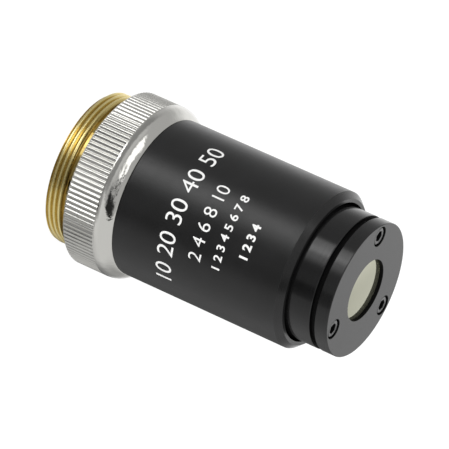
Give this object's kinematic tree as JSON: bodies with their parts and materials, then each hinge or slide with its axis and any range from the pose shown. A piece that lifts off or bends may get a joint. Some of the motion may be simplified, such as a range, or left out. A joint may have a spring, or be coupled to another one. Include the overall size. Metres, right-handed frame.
{
  "type": "microscope objective",
  "caption": "Microscope objective with brass mounting thread, chromed knurled collar, black sleeve and a spring-loaded narrower nose round a recessed coated lens.",
  "frame": {"origin": "on the optical axis, in the plane of the mounting shoulder (the collar's back face)", "axes": "+Z along the optical axis, from the mounting thread to the front lens; one plate screw on +Y"},
  "size_m": [0.0232, 0.0232, 0.0408],
  "materials": {
    "brass": "turned brass, bright",
    "chrome": "chrome plate on brass",
    "black_satin": "black anodised, satin",
    "black_gloss": "black anodised, semi-gloss",
    "black_plate": "black anodised, semi-gloss",
    "black_screws": "black oxide",
    "steel": "stainless, plain",
    "coated_glass": "anti-reflection coated",
    "glass": "polished",
    "black_spacer": "black anodised, matt"
  },
  "bodies": {
    "housing": {"thread_mount": "brass", "knurled_collar": "chrome", "outer_sleeve": "black_satin", "spring_seat": "steel", "coil_spring": "steel", "rear_baffle": "black_satin"},
    "nose": {"lens_barrel": "black_gloss", "front_plate": "black_plate", "plate_screws": "black_screws", "guide_pin": "steel", "front_lens": "coated_glass", "second_lens": "glass", "third_lens": "glass", "fourth_lens": "glass", "rear_lens": "glass", "first_spacer": "black_spacer", "second_spacer": "black_spacer", "third_spacer": "black_spacer", "aperture_stop": "black_spacer", "fourth_spacer": "black_spacer", "fifth_spacer": "black_spacer"}
  },
  "joints": [
    {"name": "nose_slide", "type": "slide", "parent": "housing", "child": "nose", "axis": [0, 0, 1], "range_m": [-0.002, 0], "stiffness_N_per_m": 600, "springref_m": 0.006, "deforming": ["coil_spring"]}
  ]
}
